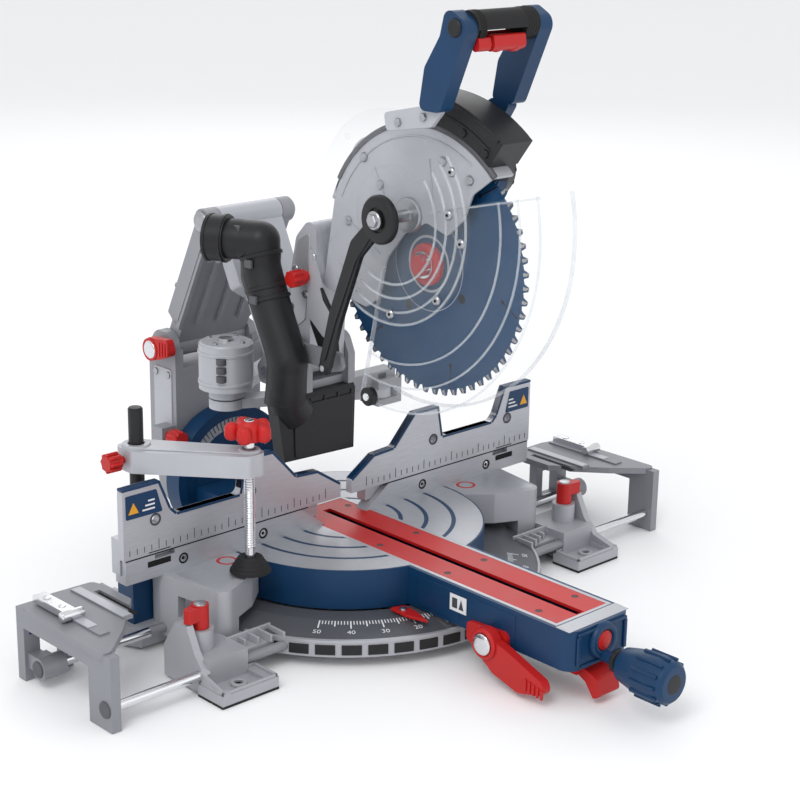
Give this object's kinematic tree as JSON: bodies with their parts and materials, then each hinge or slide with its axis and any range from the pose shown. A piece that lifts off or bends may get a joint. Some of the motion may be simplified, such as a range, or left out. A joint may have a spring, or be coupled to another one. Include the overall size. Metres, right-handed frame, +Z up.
{
  "type": "sliding compound mitre saw",
  "caption": "Sliding compound mitre saw with a folding glide linkage, turntable, tall sliding fences, pull-out extension tables and a work clamp.",
  "frame": {"origin": "on the floor at the centre of the four base bolt holes, under the turntable axis", "axes": "+X the operator's right, +Y away from the operator, +Z up"},
  "size_m": [0.8994, 0.852, 0.7292],
  "materials": {
    "grey_paint": "satin painted casting",
    "light_grey": "satin painted casting",
    "blue_paint": "satin painted",
    "machined": "machined",
    "bright_steel": "bright",
    "tool_steel": "brushed",
    "blade_blue": "coated steel",
    "black_plastic": "moulded, glass filled",
    "red_plastic": "moulded",
    "soft_black": "moulded rubber",
    "clear_shield": "clear polycarbonate"
  },
  "bodies": {
    "base": {"base_casting": "grey_paint", "rubber_feet": "soft_black", "mitre_scale": "machined", "fixed_fence": "machined", "fence_bolts": "tool_steel", "fence_blocks": "blue_paint", "clamp_post": "black_plastic"},
    "turntable": {"turntable": "blue_paint", "kerf_insert": "red_plastic", "insert_screws": "tool_steel", "bevel_trunnion": "blue_paint", "mitre_pointer": "red_plastic", "arm_brackets": "red_plastic"},
    "mitre_knob": {"mitre_knob": "blue_paint"},
    "detent_button": {"detent_button": "red_plastic"},
    "detent_trigger": {"detent_trigger": "red_plastic"},
    "mitre_lock_lever": {"mitre_lock_lever": "red_plastic"},
    "column": {"tilt_column": "grey_paint", "column_pins": "tool_steel"},
    "bevel_lock_lever": {"bevel_lock_lever": "red_plastic"},
    "bevel_stop_pin": {"bevel_stop_pin": "red_plastic"},
    "glide_lock_lever": {"glide_lock_lever": "red_plastic"},
    "rear_arm": {"rear_glide_arm": "grey_paint", "knee_pin": "tool_steel"},
    "front_arm": {"front_glide_arm": "light_grey"},
    "carriage": {"carriage": "grey_paint", "carriage_pins": "tool_steel", "dust_duct": "black_plastic"},
    "lower_rear_link": {"lower_rear_link": "light_grey"},
    "lower_front_link": {"lower_front_link": "grey_paint"},
    "head": {"head_casting": "light_grey", "motor_housing": "blue_paint", "motor_end_set": "black_plastic", "belt_cover": "grey_paint", "upper_guard": "light_grey", "top_cover": "black_plastic", "guard_axle": "tool_steel", "neck_deflector": "black_plastic", "handle_frame": "blue_paint", "handle_grip": "soft_black"},
    "head_lock_pin": {"head_lock_pin": "red_plastic"},
    "blade": {"saw_blade": "blade_blue", "arbor_set": "tool_steel"},
    "guard": {"clear_guard": "clear_shield", "guard_ring": "clear_shield"},
    "guard_link": {"guard_link": "black_plastic"},
    "switch_trigger": {"switch_trigger": "red_plastic"},
    "guard_release": {"guard_release": "red_plastic"},
    "fence_left": {"sliding_fence_left": "machined"},
    "fence_right": {"sliding_fence_right": "machined"},
    "extension_left": {"extension_table_left": "grey_paint"},
    "extension_right": {"extension_table_right": "grey_paint"},
    "stop_left": {"length_stop_left": "tool_steel"},
    "stop_right": {"length_stop_right": "tool_steel"},
    "lock_left": {"extension_lock_left": "red_plastic"},
    "lock_right": {"extension_lock_right": "red_plastic"},
    "clamp_arm": {"clamp_arm": "light_grey"},
    "clamp_lock_knob": {"clamp_lock_knob": "red_plastic"},
    "clamp_screw": {"clamp_screw": "red_plastic", "clamp_foot": "soft_black"}
  },
  "joints": [
    {"name": "mitre", "type": "hinge", "parent": "base", "child": "turntable", "pos_m": [0, 0, 0], "axis": [0, 0, 1], "range_deg": [-47, 52]},
    {"name": "mitre_knob_turn", "type": "hinge", "parent": "turntable", "child": "mitre_knob", "pos_m": [0, -0.48, 0.052], "axis": [0, 1, 0], "range_deg": [0, 180]},
    {"name": "detent_press", "type": "slide", "parent": "turntable", "child": "detent_button", "axis": [0, 1, 0], "range_m": [0, 0.004], "stiffness_N_per_m": 400},
    {"name": "detent_trigger_pull", "type": "hinge", "parent": "turntable", "child": "detent_trigger", "pos_m": [0, -0.398, 0.036], "axis": [1, 0, 0], "range_deg": [0, 18], "stiffness_Nm_per_rad": 0.5, "springref_deg": -17.19},
    {"name": "mitre_lock", "type": "hinge", "parent": "turntable", "child": "mitre_lock_lever", "pos_m": [-0.06, -0.308, 0.047], "axis": [1, 0, 0], "range_deg": [-22, 0]},
    {"name": "bevel", "type": "hinge", "parent": "turntable", "child": "column", "pos_m": [0, 0.253, 0.0899], "axis": [0, 1, 0], "range_deg": [-26, 26]},
    {"name": "bevel_lock", "type": "hinge", "parent": "column", "child": "bevel_lock_lever", "pos_m": [0, 0.325, 0.0899], "axis": [0, 1, 0], "range_deg": [0, 35]},
    {"name": "bevel_stop_pull", "type": "slide", "parent": "column", "child": "bevel_stop_pin", "axis": [0, -1, 0], "range_m": [0, 0.006], "stiffness_N_per_m": 300},
    {"name": "glide_lock", "type": "hinge", "parent": "column", "child": "glide_lock_lever", "pos_m": [-0.082, 0.2825, 0.2626], "axis": [1, 0, 0], "range_deg": [-35, 0]},
    {"name": "glide_fold", "type": "hinge", "parent": "column", "child": "rear_arm", "pos_m": [0, 0.2825, 0.2626], "axis": [1, 0, 0], "range_deg": [-12, 26.5]},
    {"name": "knee", "type": "hinge", "parent": "rear_arm", "child": "front_arm", "pos_m": [0, 0.19437, 0.44169], "axis": [1, 0, 0], "range_deg": [-53, 24]},
    {"name": "carriage_level", "type": "hinge", "parent": "front_arm", "child": "carriage", "pos_m": [0, 0.10625, 0.2626], "axis": [1, 0, 0], "range_deg": [-12, 26.5]},
    {"name": "lower_rear_fold", "type": "hinge", "parent": "column", "child": "lower_rear_link", "pos_m": [0.103, 0.228, 0.24], "axis": [0, 0, 1], "range_deg": [-12, 26.5]},
    {"name": "lower_elbow", "type": "hinge", "parent": "lower_rear_link", "child": "lower_front_link", "pos_m": [-0.07609, 0.13987, 0.225], "axis": [0, 0, 1], "range_deg": [-53, 24]},
    {"name": "chop", "type": "hinge", "parent": "carriage", "child": "head", "pos_m": [0, 0.06, 0.29], "axis": [1, 0, 0], "range_deg": [0, 50.5], "stiffness_Nm_per_rad": 14, "springref_deg": -148.97},
    {"name": "head_lock_pull", "type": "slide", "parent": "head", "child": "head_lock_pin", "axis": [-1, 0, 0], "range_m": [0, 0.008]},
    {"name": "blade_spin", "type": "hinge", "parent": "head", "child": "blade", "pos_m": [0, -0.1391, 0.4376], "axis": [1, 0, 0], "continuous": true},
    {"name": "guard_swing", "type": "hinge", "parent": "head", "child": "guard", "pos_m": [0, -0.121, 0.493], "axis": [1, 0, 0], "range_deg": [-126, 0]},
    {"name": "guard_link_swing", "type": "hinge", "parent": "head", "child": "guard_link", "pos_m": [-0.061, -0.121, 0.493], "axis": [1, 0, 0], "range_deg": [0, 24]},
    {"name": "trigger_squeeze", "type": "hinge", "parent": "head", "child": "switch_trigger", "pos_m": [0, -0.226, 0.702], "axis": [1, 0, 0], "range_deg": [-7, 0], "stiffness_Nm_per_rad": 0.6, "springref_deg": 11.46},
    {"name": "guard_release_press", "type": "slide", "parent": "head", "child": "guard_release", "axis": [0, -1, 0], "range_m": [0, 0.004], "stiffness_N_per_m": 300},
    {"name": "fence_left_slide", "type": "slide", "parent": "base", "child": "fence_left", "axis": [-1, 0, 0], "range_m": [0, 0.09]},
    {"name": "fence_right_slide", "type": "slide", "parent": "base", "child": "fence_right", "axis": [1, 0, 0], "range_m": [0, 0.09]},
    {"name": "extension_left_slide", "type": "slide", "parent": "base", "child": "extension_left", "axis": [-1, 0, 0], "range_m": [0, 0.12]},
    {"name": "extension_right_slide", "type": "slide", "parent": "base", "child": "extension_right", "axis": [1, 0, 0], "range_m": [0, 0.12]},
    {"name": "stop_left_flip", "type": "hinge", "parent": "extension_left", "child": "stop_left", "pos_m": [-0.425, -0.034, 0.0949], "axis": [1, 0, 0], "range_deg": [0, 90]},
    {"name": "stop_right_flip", "type": "hinge", "parent": "extension_right", "child": "stop_right", "pos_m": [0.425, -0.034, 0.0949], "axis": [1, 0, 0], "range_deg": [0, 90]},
    {"name": "lock_left_turn", "type": "hinge", "parent": "base", "child": "lock_left", "pos_m": [-0.3, -0.096, 0.08], "axis": [0, 0, 1], "range_deg": [0, 60]},
    {"name": "lock_right_turn", "type": "hinge", "parent": "base", "child": "lock_right", "pos_m": [0.3, -0.096, 0.08], "axis": [0, 0, -1], "range_deg": [0, 60]},
    {"name": "clamp_arm_height", "type": "slide", "parent": "base", "child": "clamp_arm", "axis": [0, 0, 1], "range_m": [0, 0.04]},
    {"name": "clamp_lock_turn", "type": "hinge", "parent": "clamp_arm", "child": "clamp_lock_knob", "pos_m": [-0.312, 0.039, 0.224], "axis": [1, 0, 0], "range_deg": [0, 180]},
    {"name": "clamp_screw_travel", "type": "slide", "parent": "clamp_arm", "child": "clamp_screw", "axis": [0, 0, 1], "range_m": [-0.003, 0.1]}
  ],
  "couplings": [
    {"joint": "knee", "follows": "glide_fold", "ratio": -2},
    {"joint": "carriage_level", "follows": "glide_fold", "ratio": 1},
    {"joint": "lower_rear_fold", "follows": "glide_fold", "ratio": 1},
    {"joint": "lower_elbow", "follows": "glide_fold", "ratio": -2},
    {"joint": "guard_swing", "follows": "chop", "ratio": -2.48},
    {"joint": "guard_link_swing", "follows": "chop", "ratio": 0.455}
  ]
}
